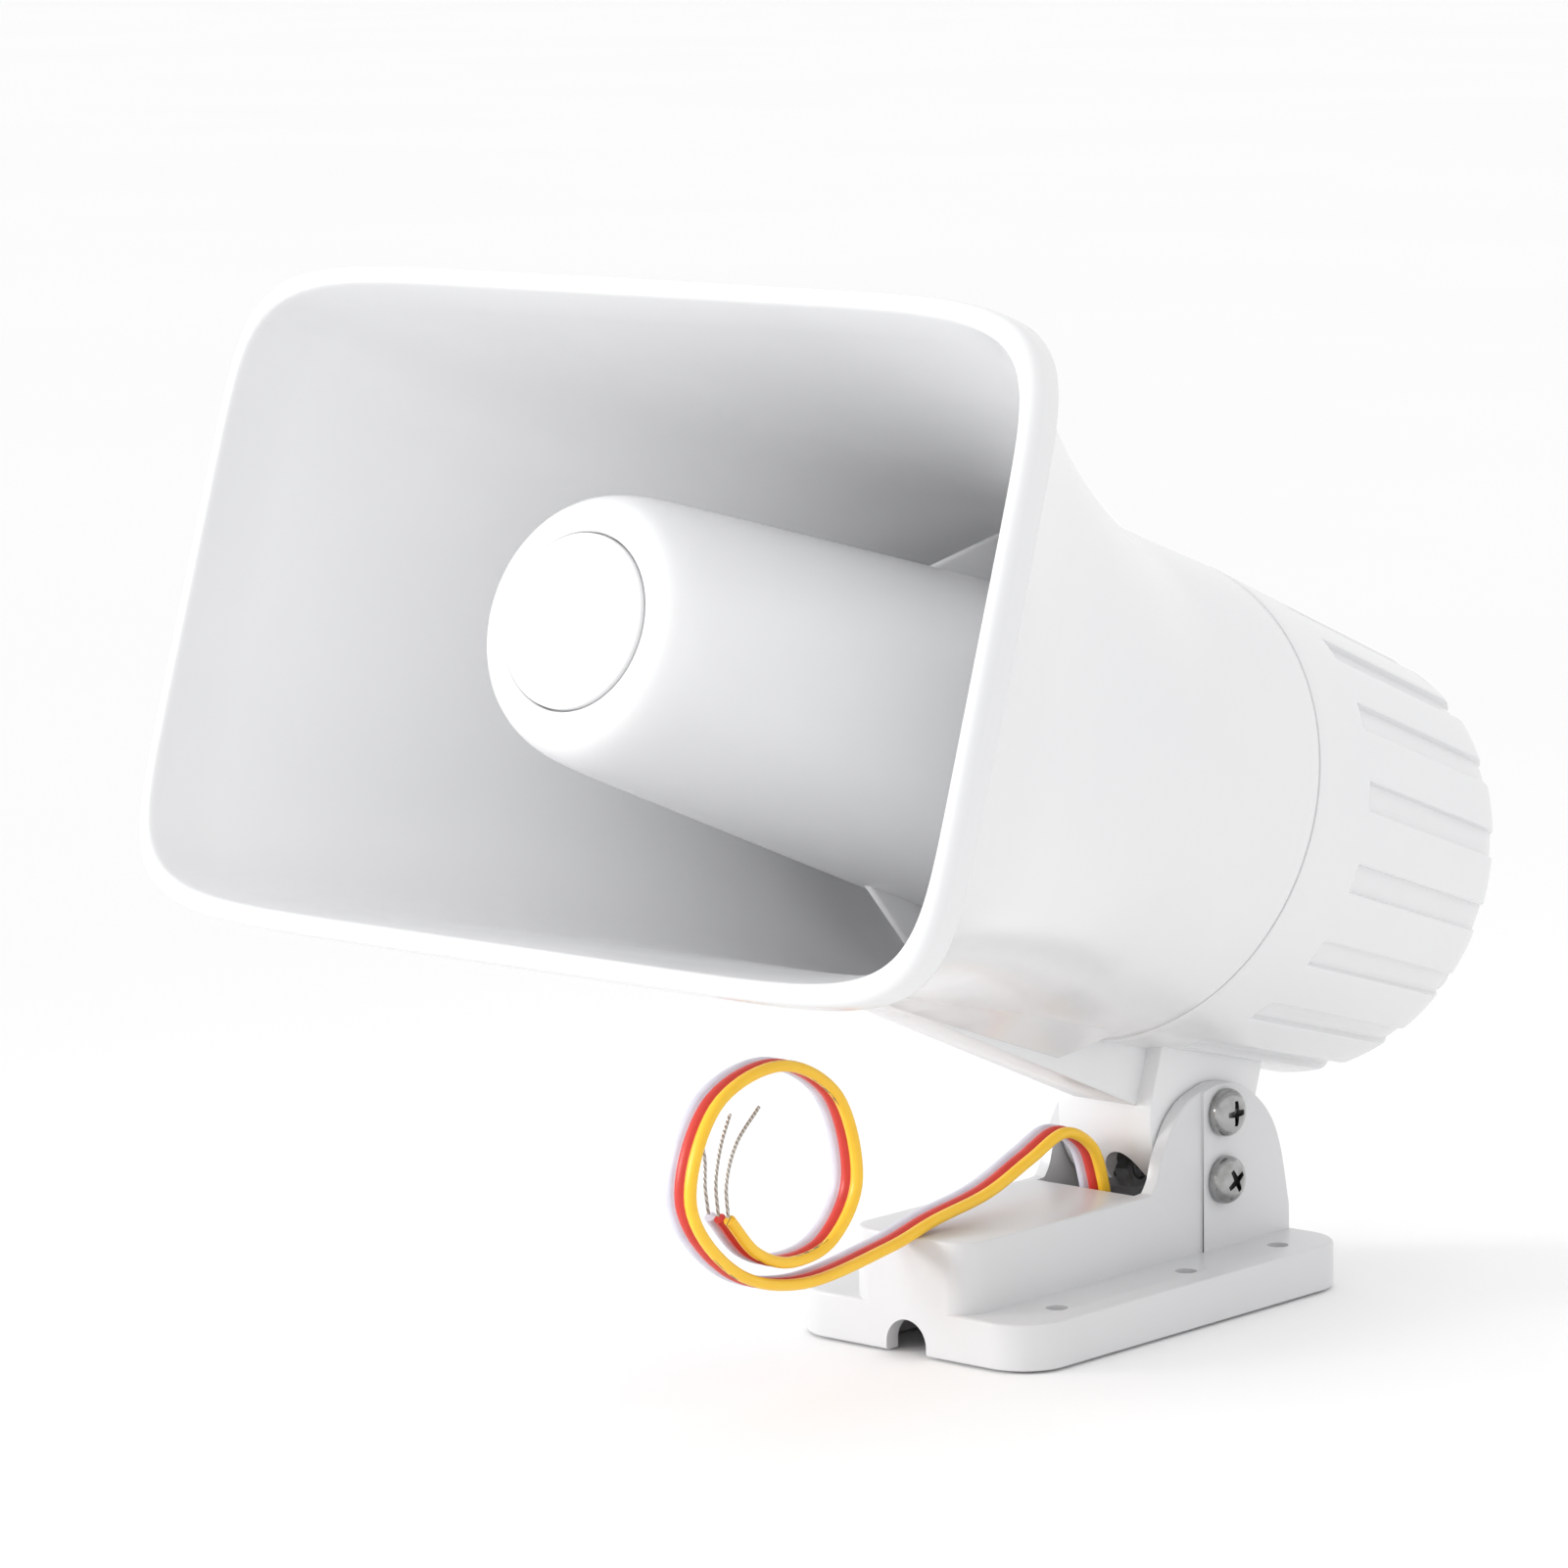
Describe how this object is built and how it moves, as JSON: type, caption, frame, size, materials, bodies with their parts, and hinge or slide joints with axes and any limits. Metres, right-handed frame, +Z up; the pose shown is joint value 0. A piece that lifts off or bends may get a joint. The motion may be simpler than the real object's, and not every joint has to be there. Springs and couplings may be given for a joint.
{
  "type": "alarm siren",
  "caption": "White electronic horn siren with a rectangular flared mouth, central reflector bullet and ribbed round rear cap, tilting on a slotted yoke base.",
  "frame": {"origin": "centre of the underside of the mounting base, on its middle rib", "axes": "+Z up away from the mounting surface, the mouth faces -Y, X sideways"},
  "size_m": [0.194, 0.2554, 0.2086],
  "materials": {
    "white_shell": "glossy white moulded ABS",
    "white_base": "glossy white moulded ABS",
    "plated_steel": "bright plated",
    "zinc_steel": "zinc plated",
    "black_plastic": "matte",
    "ferrite": "sintered, matte",
    "seal_rubber": "matte",
    "green_laminate": "lacquered",
    "copper_winding": "enamelled copper",
    "aluminium_sheet": "plain sheet",
    "blue_sleeve": "shrink sleeve",
    "amber_film": "pressed film",
    "cable_sheath": "flexible PVC in yellow, red and white",
    "tinned_wire": "tinned copper strands"
  },
  "bodies": {
    "base": {"mounting_base": "white_base", "pivot_screw_right": "plated_steel", "pivot_screw_left": "plated_steel", "lock_screw_right": "plated_steel", "lock_screw_left": "plated_steel", "pivot_nut_right": "zinc_steel", "pivot_nut_left": "zinc_steel", "lock_nut_right": "zinc_steel", "lock_nut_left": "zinc_steel", "flat_cable": "cable_sheath", "bare_end_1": "tinned_wire", "bare_end_2": "tinned_wire", "bare_end_3": "tinned_wire"},
    "horn": {"horn_shell": "white_shell", "reflector": "white_shell", "reflector_disc": "white_shell", "throat_tube": "white_shell", "clamp_ring": "black_plastic", "top_plate": "zinc_steel", "magnet_ring": "ferrite", "back_plate": "zinc_steel", "driver_screw_1": "zinc_steel", "driver_screw_2": "zinc_steel", "driver_screw_3": "zinc_steel", "rear_cap": "white_shell", "cap_gasket": "seal_rubber", "cap_screw_1": "zinc_steel", "cap_screw_2": "zinc_steel", "cap_screw_3": "zinc_steel", "circuit_board": "green_laminate", "board_screw_1": "zinc_steel", "board_screw_2": "zinc_steel", "transformer": "copper_winding", "transistor_1": "black_plastic", "transistor_2": "black_plastic", "heat_sink": "aluminium_sheet", "tone_chip": "black_plastic", "capacitor_1": "blue_sleeve", "capacitor_2": "blue_sleeve"},
    "cone": {"diaphragm": "amber_film", "voice_coil": "copper_winding"}
  },
  "joints": [
    {"name": "horn_tilt", "type": "hinge", "parent": "base", "child": "horn", "pos_m": [0, 0.0276, 0.0364], "axis": [1, 0, 0], "range_deg": [-10, 6]},
    {"name": "cone_travel", "type": "slide", "parent": "horn", "child": "cone", "axis": [0, -0.9516, 0.3074], "range_m": [-0.00035, 0.00035], "stiffness_N_per_m": 4000}
  ]
}
